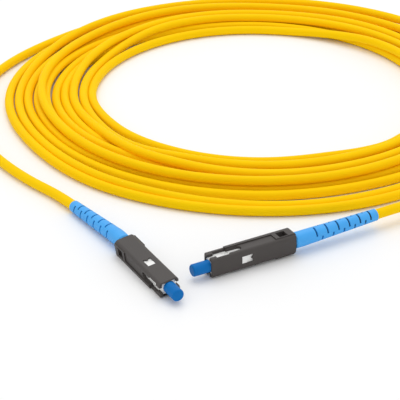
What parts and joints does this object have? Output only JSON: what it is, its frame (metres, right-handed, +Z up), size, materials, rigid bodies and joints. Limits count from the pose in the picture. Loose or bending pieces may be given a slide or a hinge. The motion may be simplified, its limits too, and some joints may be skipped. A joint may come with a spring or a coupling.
{
  "type": "fibre patch cord",
  "caption": "Coiled simplex fibre patch cord with a capped miniature push-pull connector and a slit bend-relief boot at each end.",
  "frame": {"origin": "on the table under the middle of the two connectors, taken without the cord", "axes": "+X to the right and +Y away from the viewer, from the connectors towards the coil; +Z up from the table"},
  "size_m": [0.1837, 0.2185, 0.007],
  "materials": {
    "cord_jacket": "extruded yellow PVC jacket, satin",
    "boot_elastomer": "moulded sky blue elastomer, satin",
    "sleeve_plastic": "moulded dark warm grey plastic, fine matt",
    "frame_plastic": "moulded white plastic",
    "cap_plastic": "moulded royal blue plastic, satin",
    "zirconia": "ground and polished white ceramic",
    "flange_steel": "turned",
    "spring_steel": "drawn wire",
    "stop_ring_metal": "turned",
    "crimp_metal": "drawn and crimped",
    "aramid_yarn": "bare yarn",
    "fibre_buffer": "extruded buffer"
  },
  "bodies": {
    "cord": {"left_plug_frame": "frame_plastic", "left_spring": "spring_steel", "left_stop_ring": "stop_ring_metal", "left_strength_yarn": "aramid_yarn", "left_crimp_ring": "crimp_metal", "left_buffered_fibre": "fibre_buffer", "left_jacket_end": "cord_jacket", "left_boot": "boot_elastomer", "left_lead": "cord_jacket", "right_plug_frame": "frame_plastic", "right_spring": "spring_steel", "right_stop_ring": "stop_ring_metal", "right_strength_yarn": "aramid_yarn", "right_crimp_ring": "crimp_metal", "right_buffered_fibre": "fibre_buffer", "right_jacket_end": "cord_jacket", "right_boot": "boot_elastomer", "right_lead": "cord_jacket", "coil": "cord_jacket"},
    "left_sleeve": {"left_coupling_sleeve": "sleeve_plastic"},
    "left_ferrule_unit": {"left_ferrule": "zirconia", "left_ferrule_flange": "flange_steel"},
    "left_cap": {"left_dust_cap": "cap_plastic"},
    "right_sleeve": {"right_coupling_sleeve": "sleeve_plastic"},
    "right_ferrule_unit": {"right_ferrule": "zirconia", "right_ferrule_flange": "flange_steel"},
    "right_cap": {"right_dust_cap": "cap_plastic"}
  },
  "joints": [
    {"name": "left_sleeve_slide", "type": "slide", "parent": "cord", "child": "left_sleeve", "axis": [0.4802, -0.8771, 0], "range_m": [0, 0.0012]},
    {"name": "left_ferrule_float", "type": "slide", "parent": "cord", "child": "left_ferrule_unit", "axis": [-0.4802, 0.8771, 0], "range_m": [0, 0.0009], "stiffness_N_per_m": 20, "springref_m": -0.001, "deforming": ["left_spring"]},
    {"name": "left_cap_pull", "type": "slide", "parent": "cord", "child": "left_cap", "axis": [0.4802, -0.8771, 0], "range_m": [0, 0.0034]},
    {"name": "right_sleeve_slide", "type": "slide", "parent": "cord", "child": "right_sleeve", "axis": [-0.8778, -0.4786, -0.0192], "range_m": [0, 0.0012]},
    {"name": "right_ferrule_float", "type": "slide", "parent": "cord", "child": "right_ferrule_unit", "axis": [0.8778, 0.4786, 0.0192], "range_m": [0, 0.0009], "stiffness_N_per_m": 20, "springref_m": -0.001, "deforming": ["right_spring"]},
    {"name": "right_cap_pull", "type": "slide", "parent": "cord", "child": "right_cap", "axis": [-0.8778, -0.4786, -0.0192], "range_m": [0, 0.0034]}
  ]
}
